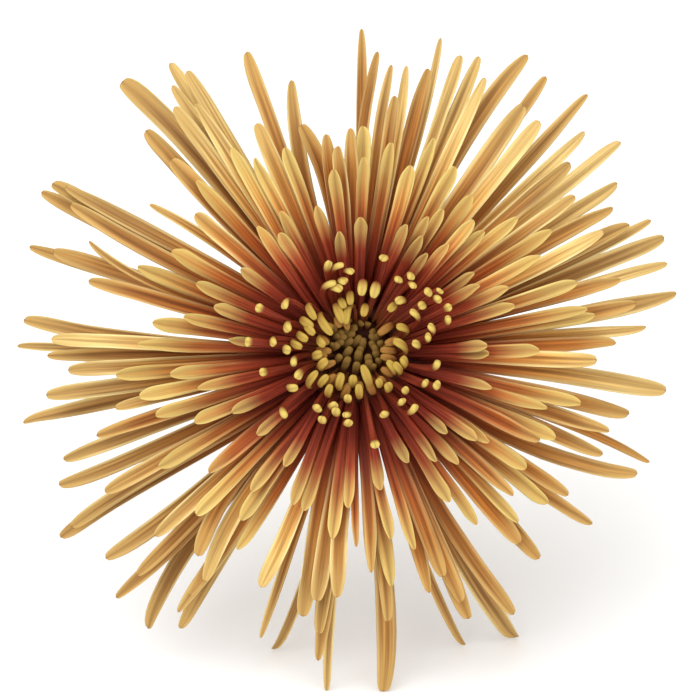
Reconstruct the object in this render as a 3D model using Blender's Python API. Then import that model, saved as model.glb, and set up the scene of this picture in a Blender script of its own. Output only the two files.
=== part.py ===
"""A cut spider chrysanthemum: one bronze quilled bloom on a trimmed stem, lying on its side.

Metres, +Z up. The flower rests on five of its lowest floret tips and on the cut end of its stem,
with its face tilted up. The head is modelled along its own axis, +Z out of the face, and an empty
at the receptacle tilts it.
"""

import math
import random

import bmesh
import bpy
from mathutils import Matrix, Vector

# Pose of the head
FACE_TILT = 30.0  # degrees the face looks up from the horizontal
HEAD_HEIGHT = 0.0700  # receptacle above the surface it lies on
HEAD_SIDE, HEAD_BACK = 0.0021, -0.0573  # receptacle along X and Y, which centre the part over its origin

# Bloom, in millimetres about the head's axis
MM = 0.001
CORE_RADIUS = 13.4
NECK_RADIUS = 8.2  # where the centre florets come out of the rest
NECK_HEIGHT = 12.6
CONE_SLOPE = 0.72  # the ray florets stay under this cone and the centre florets over it
LAYERS_RISE = 10.0  # lowest root to highest root
SLOPE_LOW, SLOPE_HIGH = 0.26, 0.66  # how steeply the lowest and highest florets leave the core
ARCH = 0.0056  # how fast every floret bends down again
ROW_WINDOW = 7.5  # florets closer than this many degrees lie on each other
ROW_STEP = 0.09  # share of LAYERS_RISE between two that do
TIP_SINK = 0.7  # how far a tip on the surface would reach under it, which is cut off flat
ROOT_RADIUS, ROOT_SPREAD = 6.5, 2.4  # from the axis to the lowest roots, and how much farther the highest are
ROOT_DEPTH = 0.4  # every root sits this much lower in the core
CONE_GAP = 1.5  # between the cone and the midlines under it
CONE_LIFT = 1.3  # between the cone and the midlines over it
SPOON_SHORT = 27.0  # reach of the shortest spooned floret
SPOON_SLIM, SPOON_GROWTH = 0.72, 0.014  # share of the usual width that it has, and more per millimetre

# Stem
STEM_LENGTH = 0.160
STEM_START = 0.0123  # behind the receptacle, inside the involucre
STEM_SWAY = 5.0  # degrees it bends sideways
STEM_RADIUS = 0.0027
STEM_END_SLOPE = 16.0  # degrees the cut end of the stem points down
STEM_POINTS = 15
LEAF_SCARS = (4, 8, 12)  # points of the stem where a leaf was stripped off
CUT_SLANT = 35.0  # degrees between the cut end and a square cut

# Long florets as they lie on this bloom: clock angle in degrees from three o'clock, reach in millimetres
LONG_FLORETS = (
    (2, 58), (5, 65.5), (10, 63.5), (10.5, 74), (15.5, 61), (16, 73), (20.5, 74.5), (24, 73), (25, 68),
    (26, 61.5), (29.5, 66), (33, 70), (35.5, 60), (38.5, 77), (41.5, 64), (44, 72), (48, 79),
    (51.5, 66), (55.5, 76), (56, 67), (60, 78), (65, 68), (67.5, 72.5), (70.5, 71), (75, 74),
    (76, 65.5), (80, 65), (81.5, 57.5), (83, 64.5), (86, 68), (89, 73.5), (91.5, 49.5), (95, 45.5),
    (98, 48.5), (103.5, 52), (103.5, 62.5), (110, 72.5), (113.5, 55.5), (121, 74.5), (122.8, 78.5),
    (123, 66.5), (124.5, 73), (126.5, 68.5), (130.8, 81.5), (133.5, 68.5), (134, 59.5), (139.5, 47),
    (144.5, 56.5), (150.5, 76), (151, 79), (152.5, 72.5), (153, 81), (157.5, 65), (161.5, 72),
    (162, 78.5), (165, 62), (174.5, 75.5), (177.5, 68.5), (179, 77), (180.5, 69.5), (183.5, 64.5),
    (188, 70.5), (192, 77.5), (193, 55), (198, 61), (200, 70.5), (204, 74), (209, 64.5), (211.5, 76),
    (212, 80), (219, 42), (219.5, 73.5), (222.5, 61), (225.5, 70.5), (225.8, 78), (232, 57.5),
    (233, 79), (235.5, 66), (235.5, 71), (236.5, 61.5), (237.5, 74.5), (248, 56.5), (251.5, 68),
    (254.5, 72.5), (258.5, 60), (261, 56), (262.5, 63.5), (263, 70), (265, 78.5), (265.5, 54.5),
    (270, 43), (274, 49), (274.5, 78.5), (276.5, 60.5), (287, 56), (290, 73.5), (291, 53.5),
    (292.5, 60.5), (293, 65), (299, 77), (301, 69), (310.5, 56), (311.5, 61.5), (317.5, 47),
    (324, 65.5), (326, 57), (334.5, 45), (336.5, 69), (337.5, 59.5), (339.5, 71), (342.5, 59),
    (347.5, 62.5), (353, 70.5), (358, 53.5),
)
# Spooned florets of the middle rows, the same way
SPOON_FLORETS = (
    (0.5, 40.5), (2.5, 29), (9, 53.5), (10.5, 52), (16.5, 36.5), (17.5, 51), (23, 36.5), (27.5, 46),
    (28.5, 31), (32, 51), (34, 31.5), (40, 46.5), (43.5, 39), (48.5, 39), (50, 31.5), (53.5, 43),
    (54.5, 27), (59, 37), (61, 29.5), (62, 34), (62, 46.5), (68.5, 30.5), (70, 50.5), (73.5, 43),
    (80.5, 47), (88, 30), (88, 43), (88.5, 50), (97, 40.5), (98.5, 27), (105, 33.5), (109, 48),
    (117.5, 48.5), (118.5, 35.5), (121.5, 53), (122.5, 31.5), (128.5, 35.5), (133, 52), (144.5, 31.5),
    (151.5, 46.5), (157, 38.5), (158.5, 52), (162.5, 33), (168.5, 39), (171.5, 45.5), (174.5, 28.5),
    (178, 48.5), (185.5, 53.5), (187, 41.5), (191.5, 49), (193, 36), (197.5, 46.5), (203.5, 39),
    (206, 30.5), (210, 50.5), (219.5, 28.5), (225.5, 50.5), (233, 38.5), (235.5, 45), (238, 30),
    (239, 51), (247, 36.5), (251.5, 37), (262.5, 41.5), (267, 34.5), (278.5, 52.5), (280, 31),
    (280.5, 42), (286.5, 45.5), (295, 27), (302, 39), (305, 46.5), (306.5, 30), (312.5, 33.5),
    (313.5, 52), (318, 27), (322, 54), (324, 33), (325.5, 45.5), (326, 35.5), (336.5, 48), (343.5, 44),
    (345, 31), (347, 51), (359.5, 29.5),
)
# Florets whose base lies aside from their tip: clock angle and reach, then degrees from tip to base
LEANS = {
    (48.5, 39): -4, (50, 31.5): -7, (56, 67): 2, (60, 78): 2, (68.5, 30.5): 6, (86, 68): 2,
    (103.5, 52): -2, (103.5, 62.5): 6, (121.5, 53): 7, (128.5, 35.5): 7, (133.5, 68.5): 3,
    (144.5, 56.5): -3, (150.5, 76): -6, (174.5, 75.5): 3, (211.5, 76): 5, (212, 80): 8,
    (219.5, 73.5): 1, (232, 57.5): -5, (233, 79): -3, (236.5, 61.5): -4, (238, 30): -6, (239, 51): 3,
    (247, 36.5): -7, (254.5, 72.5): 4, (258.5, 60): -10, (274.5, 78.5): 2, (280.5, 42): -4,
    (290, 73.5): -3, (295, 27): -7, (299, 77): -3, (301, 69): -4, (324, 65.5): -4, (336.5, 69): -8,
}
# Florets bowed sideways between base and tip: clock angle and reach, then degrees at the middle
BOWS = {
    (5, 65.5): -0.5, (10, 63.5): -0.8, (10.5, 74): -1.2, (16, 73): 0, (20.5, 74.5): -0.8,
    (24, 73): -1.2, (26, 61.5): -1, (29.5, 66): 0.8, (60, 78): 3.5, (75, 74): -1, (80, 65): -1,
    (83, 64.5): 1.5, (86, 68): 2.5, (89, 73.5): -0.5, (103.5, 52): -4, (103.5, 62.5): 2.5,
    (110, 72.5): 0.5, (130.8, 81.5): -2.5, (144.5, 56.5): -2, (152.5, 72.5): 1.5, (157.5, 65): 5,
    (174.5, 75.5): 2, (192, 77.5): -1, (204, 74): 1.5, (211.5, 76): -1.5, (212, 80): -1.5,
    (219.5, 73.5): 2, (225.8, 78): 1, (232, 57.5): -5, (233, 79): -4.5, (235.5, 66): 0.2,
    (235.5, 71): 0.5, (236.5, 61.5): -4, (237.5, 74.5): -1.5, (239, 51): 1, (248, 56.5): 1.2,
    (254.5, 72.5): 3.2, (265, 78.5): -0.8, (265.5, 54.5): -1, (270, 43): -1, (274, 49): 0.8,
    (274.5, 78.5): 2.5, (276.5, 60.5): 1, (280.5, 42): -0.5, (287, 56): 1, (290, 73.5): -2.2,
    (299, 77): -1.5, (301, 69): -2, (324, 65.5): -1, (336.5, 69): -4, (339.5, 71): 2.4, (353, 70.5): 1,
}
# Florets much wider or narrower than the rest, the same way, as a share of the usual width
BREADTHS = {
    (5, 65.5): 0.85, (10.5, 74): 1.25, (16, 73): 0.8, (20.5, 74.5): 1.15, (24, 73): 0.85,
    (55.5, 76): 0.75, (56, 67): 1.3, (60, 78): 1.2, (70.5, 71): 0.8, (75, 74): 0.55, (80, 65): 0.75,
    (81.5, 57.5): 0.8, (83, 64.5): 0.75, (86, 68): 0.7, (89, 73.5): 0.7, (110, 72.5): 0.95,
    (130.8, 81.5): 1.45, (144.5, 56.5): 0.6, (157.5, 65): 0.55, (179, 77): 0.65, (193, 55): 0.75,
    (239, 51): 0.85, (248, 56.5): 1.05, (251.5, 68): 0.6, (254.5, 72.5): 0.7, (265, 78.5): 0.65,
    (270, 43): 0.55, (274, 49): 0.85, (274.5, 78.5): 1.3, (280.5, 42): 0.85, (286.5, 45.5): 0.85,
    (290, 73.5): 0.6, (299, 77): 1.25, (305, 46.5): 0.85, (313.5, 52): 0.85, (336.5, 69): 1.05,
    (339.5, 71): 0.6, (353, 70.5): 1.25,
}
# Florets that stand up round the eye: clock angle and reach of the tip, then of the floret's outermost bend
FINGER_FLORETS = (
    (18, 8.5, 352, 11.5), (33, 10.5, 16, 12.5), (52, 11.5, 50, 14), (79, 8, 79, 11),
    (97, 10.5, 95, 14), (105, 10, 108, 12.5), (110, 6.5, 89, 11.5), (114, 7, 113, 12.5),
    (141, 11.5, 132, 16), (144, 6.5, 129, 13), (150, 11, 148, 15), (157, 10, 145, 13.5),
    (166, 11, 160, 14), (169, 7, 153, 9), (175, 12, 168, 15), (182, 7.5, 188, 9.5),
    (194, 6.5, 209, 9), (206, 9.5, 221, 14), (219, 8, 224, 11.5), (232, 9, 240, 12),
    (237, 5.5, 249, 9.5), (263, 5, 264, 7.5), (274, 7, 274, 10.5), (295, 3, 290, 9.5),
    (309, 7.5, 302, 9), (315, 9.5, 308, 11), (344, 7, 325, 10), (344, 8.5, 330, 11),
    (354, 10, 339, 11),
)
CLUB_FLORETS = (
    (10, 12.5, 2, 14), (14, 16, 7, 15.5), (21, 17, 10, 17.5), (21, 21.5, 16, 20.5),
    (26, 23, 26, 21), (32, 21.5, 36, 20.5), (36, 17, 34, 18.5), (36, 22.5, 38, 23),
    (38, 15, 20, 15.5), (39, 20, 42, 21), (48, 19, 55, 19), (52, 14, 44, 16), (53, 20, 58, 21),
    (59, 18, 62, 18.5), (73, 12.5, 74, 17), (75, 21, 71, 22), (85, 12.5, 84, 17),
    (92, 17.5, 102, 18), (98, 15.5, 107, 16), (98, 19.5, 112, 18.5), (103, 14, 117, 15.5),
    (106, 16, 126, 15.5), (106, 21, 113, 18), (149, 18.5, 138, 19), (155.5, 24, 155.5, 22),
    (163, 15.5, 153, 16.5), (174.5, 24.5, 174.5, 22.5), (175, 18, 168, 18.5), (179, 14.5, 175, 16),
    (192, 14, 181, 13), (192, 21.5, 192, 19.5), (204, 14.5, 195, 11.5), (211, 15, 204, 17.5),
    (223, 21, 213, 20), (237, 14.5, 231, 15), (242, 16, 246, 17), (249, 12, 241, 13.5),
    (250, 13, 254, 14.5), (259, 9.5, 261, 11), (259, 14, 266, 13), (265, 15, 260, 16),
    (281.5, 21, 281.5, 19.5), (292, 14.5, 299, 15), (315, 14.5, 307, 14.5), (319, 17.5, 305, 17.5),
    (323, 13, 320, 14), (338, 16.5, 331, 16), (339, 18.5, 335, 19.5), (354, 18, 345, 17),
)
CLUB_TOP, CLUB_TOP_GROWTH = 23.5, 0.22  # height of a club 12 mm from the axis, and more per millimetre
CLUB_TOPS = (23.0, 26.0)  # limits of that height
FINGER_TOP = 22.2
CLUB_ROOT = (0.32, 6.6, 13.6)  # share of the bend's radius, greatest radius, and height of a club's root
FINGER_ROOT = (0.36, 14.4)  # share of the bend's radius, and height of a finger's root
LOW_FINGERS = 21  # places round the axis for fingers that fill in under the others
LOW_FINGER_GAP = (38.0, 100.0)  # clock angles between which there are none
LOW_FINGER_TOP = 20.6
LOW_FINGER_REACH, LOW_FINGER_BEND = (4.6, 7.4), (8.6, 11.4)  # limits of the tip's and the bend's radius
# Rings of small florets round the eye: number, and how far their tips are from its middle
EYE_RINGS = ((8, 1.7), (12, 4.1), (9, 6.4))
EYE_HOLLOW = (1.7, 4.9)  # from the axis to the middle of the eye, which lies aside from it
EYE_LEAN = 4.2  # how far a floret of the eye leans in from its root
EYE_ROOT, EYE_TOP = 14.2, 17.0  # height of the roots and of the nearest tips
EYE_RISE = 0.4  # how much higher the tips get per millimetre from the middle
DOME_REACH, ROOT_REACH = 8.2, 5.8  # farthest from the axis that such a tip and its root are
# Long florets whose tips are pressed down onto the surface: clock angle and reach, as above
FLOOR_FLORETS = ((254.5, 72.5), (265, 78.5), (274.5, 78.5), (290, 73.5), (299, 77))

# Widths along a floret: share of its reach, then millimetres
LONG_WIDTHS = ((0.0, 1.3), (0.36, 2.5), (0.66, 3.5), (0.9, 3.0), (1.0, 1.2))
SPOON_WIDTHS = ((0.0, 1.3), (0.45, 2.4), (0.86, 3.2), (1.0, 1.6))
CLUB_WIDTHS = ((0.0, 1.0), (0.45, 1.5), (0.8, 2.3), (1.0, 1.4))
SMALL_WIDTHS = ((0.0, 1.0), (0.6, 1.9), (1.0, 1.5))
BRACT_WIDTHS = (2.0, 5.2, 1.2)
CLUB_SCALE, FINGER_SCALE, EYE_SCALE = 0.9, 0.85, 0.75
BLADE_THICKNESS, BLADE_FOLD = 0.85, 0.20  # millimetres, and share of the width that the margins rise
CLUB_THICKNESS = 0.8  # share of the width
BRACT_THICKNESS, BRACT_FOLD = 0.8, 0.35
# Rows of bracts: number, start angle, radius and height of the tips
BRACT_ROWS = ((13, 0.0, 13.2, -2.4), (13, 14.0, 11.8, -4.4), (11, 5.0, 9.6, -6.8))

# Profiles of (radius, height) in millimetres that are spun about the head's axis
CORE_PROFILE = (
    (0.0, -2.2), (8.0, -2.2), (CORE_RADIUS - 1.2, -0.8), (CORE_RADIUS, 2.5), (12.6, 6.5), (10.6, 10.5),
    (NECK_RADIUS + 0.4, NECK_HEIGHT - 0.4), (NECK_RADIUS - 0.2, NECK_HEIGHT - 1.0), (6.8, 6.5), (0.0, 5.5),
)
DOME_PROFILE = ((0.0, 5.9), (6.2, 6.9), (7.5, 11.6), (7.6, 14.0), (6.4, 15.4), (3.6, 15.6), (0.0, 14.8))
CUP_PROFILE = (
    (0.0, -12.0), (2.8, -12.0), (5.4, -10.4), (9.4, -7.4), (11.6, -3.4), (11.2, -2.2), (8.0, -2.6),
    (0.0, -2.6),
)


def clamp(value, low, high):
    """The value, held between two limits."""
    return max(low, min(high, value))


def angle_between(a, b):
    """The smallest angle between two clock angles."""
    return abs((a - b + 180.0) % 360.0 - 180.0)


def cone_height(rho):
    """Height of the cone that divides the ray florets from the centre florets."""
    return NECK_HEIGHT + CONE_SLOPE * (rho - NECK_RADIUS)


def lay_rows(florets):
    """Lay the florets from the longest to the shortest, each on those it overlaps.

    Returns (angle, reach, level) with the level from 0, the lowest row, to 1, the highest.
    """
    laid = []
    order = sorted(florets, key=lambda floret: -floret[1])
    for place, (angle, reach) in enumerate(order):
        level = place / len(order)
        for other, _, under in laid:
            if angle_between(angle, other) < ROW_WINDOW:
                level = max(level, under + ROW_STEP)
        laid.append((angle, reach, level))
    top = max(level for _, _, level in laid)
    return [(angle, reach, level / top) for angle, reach, level in laid]


def ray_point(floret, t):
    """Point of a ray floret's midline, in millimetres, at share t of its reach."""
    angle, reach, level, lean, bow, press = floret
    root = ROOT_RADIUS + ROOT_SPREAD * level
    rho = root + (reach - root) * t
    run = rho - NECK_RADIUS
    height = LAYERS_RISE * level - ROOT_DEPTH
    height += (SLOPE_LOW + (SLOPE_HIGH - SLOPE_LOW) * level) * run - ARCH * run * run
    height -= press * t * t * t
    if rho > NECK_RADIUS:
        height = min(height, cone_height(rho) - CONE_GAP)
    turn = math.radians(angle + lean * (1.0 - t) ** 2 + bow * 4.0 * t * (1.0 - t))
    return Vector((rho * math.cos(turn), rho * math.sin(turn), height))


def frame_along(point_at, t, outward=None):
    """Tangent, sideways and upper directions of a floret that lies outward, or else away from the axis."""
    step = 0.01
    tangent = (point_at(min(t + step, 1.0)) - point_at(max(t - step, 0.0))).normalized()
    outward = outward or point_at(t)
    around = Vector((-outward.y, outward.x, 0.0)).normalized()
    side = (around - tangent * around.dot(tangent)).normalized()
    return tangent, side, tangent.cross(side)


def section(centre, side, up, width, thick, fold, roll):
    """Four corners of a channelled blade: two raised margins, the channel and the keel."""
    turned_side = side * math.cos(roll) + up * math.sin(roll)
    turned_up = up * math.cos(roll) - side * math.sin(roll)
    half = width / 2.0
    return [
        centre - turned_side * half + turned_up * fold,
        centre - turned_up * thick / 2.0,
        centre + turned_side * half + turned_up * fold,
        centre + turned_up * thick / 2.0,
    ]


def grow(name, sections, collection):
    """Extrude a small face through its sections into one closed floret or bract."""
    bm = bmesh.new()
    bmesh.ops.create_circle(bm, cap_ends=True, segments=len(sections[0]), radius=1.0)
    bm.faces.ensure_lookup_table()
    end = bm.faces[0]
    for vert, corner in zip(end.verts, sections[0]):
        vert.co = corner * MM
    for number, corners in enumerate(sections[1:]):
        grown = bmesh.ops.extrude_face_region(bm, geom=[end])["geom"]
        if number:
            bm.faces.remove(end)
        end = next(part for part in grown if isinstance(part, bmesh.types.BMFace))
        for vert, corner in zip(end.verts, corners):
            vert.co = corner * MM
    bmesh.ops.triangulate(bm, faces=bm.faces[:], quad_method="SHORT_EDGE", ngon_method="BEAUTY")
    bmesh.ops.recalc_face_normals(bm, faces=bm.faces[:])
    mesh = bpy.data.meshes.new(name)
    bm.to_mesh(mesh)
    bm.free()
    piece = bpy.data.objects.new(name, mesh)
    collection.objects.link(piece)
    return piece


def turned(name, profile, segments, collection):
    """Spin a profile of (radius, height) in millimetres, axis to axis, into one closed solid."""
    bm = bmesh.new()
    verts = [bm.verts.new((radius * MM, 0.0, height * MM)) for radius, height in profile]
    edges = [bm.edges.new(pair) for pair in zip(verts, verts[1:])]
    bmesh.ops.spin(bm, geom=verts + edges, cent=(0, 0, 0), axis=(0, 0, 1), angle=math.tau,
                   steps=segments, use_merge=True)
    bmesh.ops.remove_doubles(bm, verts=bm.verts[:], dist=0.00001)
    bmesh.ops.recalc_face_normals(bm, faces=bm.faces[:])
    mesh = bpy.data.meshes.new(name)
    bm.to_mesh(mesh)
    bm.free()
    piece = bpy.data.objects.new(name, mesh)
    collection.objects.link(piece)
    return piece


def apply_modifiers(piece):
    """Keep the piece's evaluated shape as its mesh."""
    evaluated = piece.evaluated_get(bpy.context.evaluated_depsgraph_get())
    mesh = bpy.data.meshes.new_from_object(evaluated)
    piece.modifiers.clear()
    piece.data = mesh


def keep_outer_shell(mesh):
    """Drop the sealed pockets and loose scraps that a union leaves, which are all its smaller shells."""
    bm = bmesh.new()
    bm.from_mesh(mesh)
    waiting = set(bm.verts)
    shells = []
    while waiting:
        shell = [waiting.pop()]
        for vert in shell:
            for edge in vert.link_edges:
                other = edge.other_vert(vert)
                if other in waiting:
                    waiting.remove(other)
                    shell.append(other)
        shells.append(shell)
    shells.sort(key=len)
    for shell in shells[:-1]:
        bmesh.ops.delete(bm, geom=shell, context="VERTS")
    bm.to_mesh(mesh)
    bm.free()


def fuse(core, repeats):
    """Join a collection of repeats to their core by one union, and remove the repeats."""
    union = core.modifiers.new("Union", "BOOLEAN")
    union.operation = "UNION"
    union.operand_type = "COLLECTION"
    union.collection = repeats
    union.solver = "MANIFOLD"
    apply_modifiers(core)
    keep_outer_shell(core.data)
    for piece in list(repeats.objects):
        bpy.data.objects.remove(piece)
    bpy.data.collections.remove(repeats)


def cut_flat(piece, cutter):
    """Take off what reaches under the surface that the flower lies on."""
    cut = piece.modifiers.new("Flat spots", "BOOLEAN")
    cut.operation = "DIFFERENCE"
    cut.object = cutter
    cut.solver = "EXACT"


def material(name, color, roughness):
    """A Principled material of one plain colour."""
    made = bpy.data.materials.new(name)
    made.use_nodes = True
    shader = made.node_tree.nodes["Principled BSDF"]
    shader.inputs["Base Color"].default_value = (*color, 1.0)
    shader.inputs["Roughness"].default_value = roughness
    shader.inputs["Metallic"].default_value = 0.0
    return made


def low_fingers():
    """Fingers under the others, listed as those are."""
    draw = random.Random(41)
    florets = []
    for number in range(LOW_FINGERS):
        angle = 360.0 / LOW_FINGERS * (number + draw.uniform(-0.3, 0.3))
        tip = draw.uniform(*LOW_FINGER_REACH)
        bend = draw.uniform(*LOW_FINGER_BEND)
        turn = draw.uniform(-8.0, 8.0)
        if not LOW_FINGER_GAP[0] < angle < LOW_FINGER_GAP[1]:
            florets.append((angle + turn, tip, angle, bend))
    return florets


def eye_florets():
    """Root and tip of each small floret of the eye, in millimetres."""
    draw = random.Random(17)
    florets = []
    for count, away in EYE_RINGS:
        for number in range(count):
            turn = math.tau * (number + draw.uniform(-0.3, 0.3)) / count + away
            reach = away + draw.uniform(-0.5, 0.5)
            out = Vector((math.cos(turn), math.sin(turn), 0.0))
            tip = Vector((*EYE_HOLLOW, EYE_TOP + EYE_RISE * reach)) + out * reach
            root = Vector((*EYE_HOLLOW, 0.0)) + out * (reach + EYE_LEAN)
            root *= min(1.0, ROOT_REACH / root.length)
            root.z = EYE_ROOT
            if tip.xy.length < DOME_REACH:
                florets.append((root, tip))
    return florets


def eye_point(floret, t):
    """Point of the midline of a floret of the eye, which rises first and then leans in."""
    root, tip = floret
    point = root.lerp(tip, t * t)
    point.z = root.z + (tip.z - root.z) * (1.0 - (1.0 - t) ** 2)
    return point


def floor_press(angle, reach, level):
    """How far a floret bends back for its tip to reach just under the surface."""
    tip = ray_point((angle, reach, level, 0.0, 0.0, 0.0), 1.0)
    tilt = math.radians(FACE_TILT)
    target = (-HEAD_HEIGHT / MM - tip.y * math.cos(tilt) - TIP_SINK) / math.sin(tilt)
    return tip.z - target


def ray_florets(parts):
    """Long and spooned florets on the receptacle."""
    draw = random.Random(11)
    repeats = bpy.data.collections.new("ray repeats")
    bpy.context.scene.collection.children.link(repeats)
    spooned = set(SPOON_FLORETS)
    for number, (angle, reach, level) in enumerate(lay_rows(LONG_FLORETS + SPOON_FLORETS)):
        key = (angle, reach)
        lean = LEANS.get(key, draw.uniform(-1.5, 1.5))
        roll = math.radians(draw.uniform(-16.0, 16.0))
        breadth = BREADTHS.get(key, draw.uniform(0.92, 1.12))
        if key in spooned:
            breadth *= clamp(SPOON_SLIM + SPOON_GROWTH * (reach - SPOON_SHORT), SPOON_SLIM, 1.0)
        press = floor_press(angle, reach, level) if key in FLOOR_FLORETS else 0.0
        floret = (angle, reach, level, lean, BOWS.get(key, 0.0), press)
        point_at = lambda share: ray_point(floret, share)
        sections = []
        for t, width in SPOON_WIDTHS if key in spooned else LONG_WIDTHS:
            _, side, up = frame_along(point_at, t)
            wide = width * (1.0 + (breadth - 1.0) * min(1.0, 2.0 * t))
            corners = section(point_at(t), side, up, wide, BLADE_THICKNESS, BLADE_FOLD * wide, roll * t)
            sections.append(corners)
        grow(f"ray_{number}", sections, repeats)
    core = turned("ray_florets", CORE_PROFILE, 24, parts)
    fuse(core, repeats)
    return core


def centre_point(floret, t):
    """Point of a centre floret's midline, in millimetres, on a cubic curve that bulges and turns in."""
    (tip_angle, tip, bend_angle, bend), (root, base), top = floret
    path = ((root, base), (bend + 1.6, base + 1.5), (bend + 1.2, top - 0.4), (tip, top))
    weights = ((1 - t) ** 3, 3 * t * (1 - t) ** 2, 3 * t * t * (1 - t), t ** 3)
    rho = sum(weight * point[0] for weight, point in zip(weights, path))
    height = sum(weight * point[1] for weight, point in zip(weights, path))
    if rho > NECK_RADIUS:
        height = max(height, cone_height(rho) + CONE_LIFT)
    sweep = (tip_angle - bend_angle + 180.0) % 360.0 - 180.0
    angle = math.radians(bend_angle + sweep * t * t)
    return Vector((rho * math.cos(angle), rho * math.sin(angle), height))


def centre_florets(parts):
    """Club-tipped florets, the fingers inside them and the small florets of the eye, on their own dome."""
    draw = random.Random(5)
    repeats = bpy.data.collections.new("centre repeats")
    bpy.context.scene.collection.children.link(repeats)
    plans = []
    for floret in CLUB_FLORETS:
        top = clamp(CLUB_TOP + CLUB_TOP_GROWTH * (floret[1] - 12.0), *CLUB_TOPS) + draw.uniform(-0.4, 0.4)
        root = (min(CLUB_ROOT[0] * floret[3], CLUB_ROOT[1]), CLUB_ROOT[2])
        plans.append((centre_point, (floret, root, top), CLUB_WIDTHS, CLUB_SCALE, None))
    for floret in FINGER_FLORETS:
        root = (FINGER_ROOT[0] * floret[3], FINGER_ROOT[1])
        top = FINGER_TOP + draw.uniform(-0.5, 0.5)
        plans.append((centre_point, (floret, root, top), SMALL_WIDTHS, FINGER_SCALE, None))
    for floret in low_fingers():
        root = (FINGER_ROOT[0] * floret[3], FINGER_ROOT[1])
        plans.append((centre_point, (floret, root, LOW_FINGER_TOP), SMALL_WIDTHS, FINGER_SCALE, None))
    for root, tip in eye_florets():
        plans.append((eye_point, (root, tip), SMALL_WIDTHS, EYE_SCALE, root - tip))
    for number, (rule, floret, widths, scale, outward) in enumerate(plans):
        point_at = lambda share: rule(floret, share)
        sections = []
        for t, width in widths:
            _, side, up = frame_along(point_at, t, outward)
            wide = width * scale
            sections.append(section(point_at(t), side, up, wide, CLUB_THICKNESS * wide, 0.0, 0.0))
        grow(f"centre_{number}", sections, repeats)
    dome = turned("centre_florets", DOME_PROFILE, 12, parts)
    fuse(dome, repeats)
    return dome


def involucre(parts):
    """Green cup of three rows of overlapping bracts under the florets."""
    repeats = bpy.data.collections.new("bract repeats")
    bpy.context.scene.collection.children.link(repeats)
    for row, (count, start, tip_radius, tip_height) in enumerate(BRACT_ROWS):
        for number in range(count):
            turn = math.radians(start + 360.0 * number / count)
            out = Vector((math.cos(turn), math.sin(turn), 0.0))
            around = Vector((-out.y, out.x, 0.0))
            path = ((4.0, -9.6), (8.6, -8.0 + 0.6 * row), (tip_radius, tip_height))
            sections = []
            up = Vector((-out.x, -out.y, 1.0)).normalized()
            for (radius, height), width in zip(path, BRACT_WIDTHS):
                centre = out * radius + Vector((0, 0, height))
                sections.append(section(centre, around, up, width, BRACT_THICKNESS, BRACT_FOLD, 0.0))
            grow(f"bract_{row}_{number}", sections, repeats)
    cup = turned("involucre", CUP_PROFILE, 26, parts)
    fuse(cup, repeats)
    return cup


def stem_path(t):
    """Point of the stem's midline at share t of its length, in metres, in the part's own frame."""
    start = math.radians(FACE_TILT)
    end = math.radians(STEM_END_SLOPE)
    tilt = math.radians(FACE_TILT)
    steps = 24
    point = Vector((HEAD_SIDE, HEAD_BACK, HEAD_HEIGHT))
    point += STEM_START * Vector((0, math.cos(tilt), -math.sin(tilt)))
    for step in range(steps):
        share = (step + 0.5) / steps * t
        slope = start + (end - start) * share
        sway = math.radians(STEM_SWAY) * math.sin(math.pi * share)
        piece = STEM_LENGTH * t / steps
        point += piece * Vector((math.sin(sway), math.cos(slope) * math.cos(sway), -math.sin(slope)))
    return point


def stem(parts, floor):
    """Round stem from under the involucre down to its cut end."""
    curve = bpy.data.curves.new("stem", "CURVE")
    curve.dimensions = "3D"
    curve.bevel_depth = STEM_RADIUS
    curve.bevel_resolution = 2
    curve.use_fill_caps = True
    spline = curve.splines.new("POLY")
    spline.points.add(STEM_POINTS - 1)
    for number, point in enumerate(spline.points):
        share = number / (STEM_POINTS - 1)
        point.co = (*stem_path(share), 1.0)
        point.radius = 0.88 + 0.12 * share + 0.12 * max(0.0, 1.0 - 8.0 * share)
        if number in LEAF_SCARS:
            point.radius += 0.12
    draft = bpy.data.objects.new("stem curve", curve)
    bpy.context.scene.collection.objects.link(draft)
    mesh = bpy.data.meshes.new_from_object(draft.evaluated_get(bpy.context.evaluated_depsgraph_get()))
    bm = bmesh.new()
    bm.from_mesh(mesh)
    bmesh.ops.remove_doubles(bm, verts=bm.verts[:], dist=0.00001)
    end = stem_path(1.0)
    along = (end - stem_path(0.98)).normalized()
    slant = Matrix.Rotation(math.radians(CUT_SLANT), 3, Vector((1, 0, 0))) @ along
    bmesh.ops.bisect_plane(bm, geom=bm.verts[:] + bm.edges[:] + bm.faces[:], dist=0.00001,
                           plane_co=end - along * STEM_RADIUS, plane_no=slant, clear_outer=True)
    bmesh.ops.holes_fill(bm, edges=[edge for edge in bm.edges if edge.is_boundary], sides=0)
    bmesh.ops.recalc_face_normals(bm, faces=bm.faces[:])
    bm.to_mesh(mesh)
    bm.free()
    bpy.data.objects.remove(draft)
    piece = bpy.data.objects.new("stem", mesh)
    parts.objects.link(piece)
    cut_flat(piece, floor)
    return piece


def floor_cutter(cutters):
    """Block under the surface, which gives what touches it a flat spot."""
    bpy.ops.mesh.primitive_cube_add(size=1.0)
    block = bpy.context.object
    block.name = "floor_cutter"
    block.dimensions = (0.4, 0.6, 0.02)
    block.location = (0.0, 0.0, -0.01)
    bpy.ops.object.transform_apply(location=True, rotation=False, scale=True)
    for home in list(block.users_collection):
        home.objects.unlink(block)
    cutters.objects.link(block)
    block.hide_render = True
    block.display_type = "WIRE"
    return block


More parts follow.
